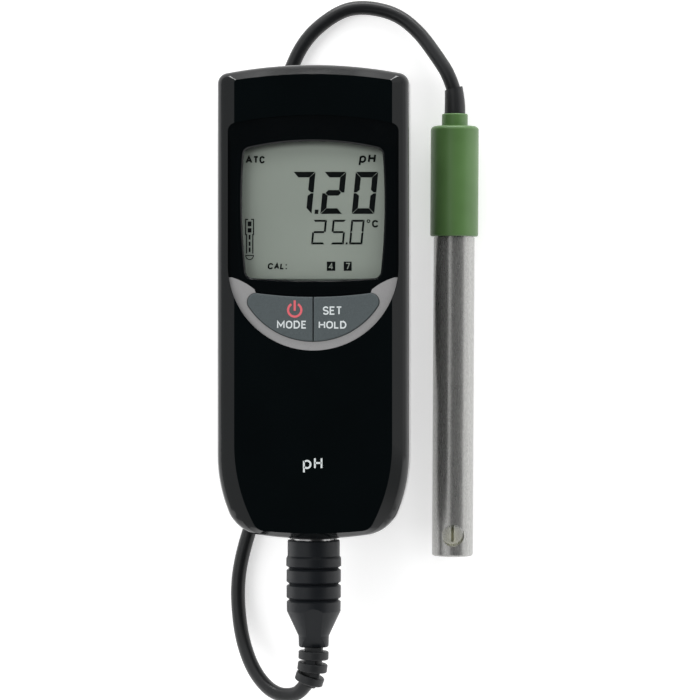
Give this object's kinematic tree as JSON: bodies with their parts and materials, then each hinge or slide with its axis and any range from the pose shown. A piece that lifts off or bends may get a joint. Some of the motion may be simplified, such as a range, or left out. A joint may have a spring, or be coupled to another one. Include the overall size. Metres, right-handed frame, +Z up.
{
  "type": "portable ph meter",
  "caption": "Handheld pH meter lying on its back, with display, two keys and a corded metal-tube probe plugged into its end.",
  "frame": {"origin": "on the surface it lies on, below the middle of the meter and its probe", "axes": "+Z up out of the meter's face, +Y towards the display end, +X towards the probe"},
  "size_m": [0.0858, 0.2315, 0.0401],
  "materials": {
    "case_black": "glossy black moulded plastic",
    "rear_black": "fine-textured black moulded plastic",
    "gasket": "dark grey silicone",
    "screw_steel": "steel",
    "brass": "brass",
    "bezel_black": "glossy black moulded plastic",
    "lens": "clear display lens",
    "lcd": "grey-green liquid crystal display",
    "white_plastic": "white moulded plastic",
    "zebra": "striped elastomer",
    "trim_silver": "satin silver",
    "key_grey": "fine-grained grey key",
    "membrane": "grey silicone",
    "board_green": "green circuit board",
    "chip_black": "black component",
    "cell_metal": "printed metal can",
    "contact_metal": "nickel-plated spring steel",
    "socket_black": "black moulded plastic",
    "contact_gold": "gold-plated contact",
    "plug_black": "soft black moulding",
    "cord_black": "black cord jacket",
    "tie_black": "black tie",
    "tube_metal": "brushed grey metal",
    "head_green": "satin green plastic",
    "glass_clear": "clear glass",
    "glass_olive": "olive-tinted glass",
    "wire_dark": "coated silver wire",
    "seal_grey": "grey potting",
    "ceramic": "porous ceramic"
  },
  "bodies": {
    "meter": {"front_case": "case_black", "rear_case": "rear_black", "case_gasket": "gasket", "case_screws": "screw_steel", "threaded_inserts": "brass", "display_bezel": "bezel_black", "display_lens": "lens", "lcd_glass": "lcd", "lcd_holder": "white_plastic", "zebra_strips": "zebra", "keypad_trim": "trim_silver", "keypad_membrane": "membrane", "main_board": "board_green", "board_parts": "chip_black", "battery_tray": "socket_black", "batteries": "cell_metal", "battery_contacts": "contact_metal", "socket_housing": "socket_black", "socket_insert": "socket_black", "socket_contacts": "contact_gold", "socket_seal": "gasket", "plug_shell": "contact_metal", "plug_insert": "socket_black", "plug_pins": "contact_gold", "plug_body": "plug_black", "plug_strain_relief": "plug_black", "probe_tube": "tube_metal", "probe_head": "head_green", "probe_strain_relief": "plug_black", "glass_bulb": "glass_olive", "glass_stem": "glass_clear", "electrode_wire": "wire_dark", "sensor_bulkhead": "seal_grey", "temperature_sensor": "contact_metal", "reference_junction": "ceramic", "head_seal": "seal_grey", "preamp_board": "board_green", "cable_lower": "cord_black", "cable_coil": "cord_black", "cable_upper": "cord_black", "cable_tie": "tie_black"},
    "mode_key": {"mode_button": "key_grey"},
    "set_key": {"set_button": "key_grey"}
  },
  "joints": [
    {"name": "mode_press", "type": "slide", "parent": "meter", "child": "mode_key", "axis": [0, 0, -1], "range_m": [0, 0.0008], "stiffness_N_per_m": 1800},
    {"name": "set_press", "type": "slide", "parent": "meter", "child": "set_key", "axis": [0, 0, -1], "range_m": [0, 0.0008], "stiffness_N_per_m": 1800}
  ]
}
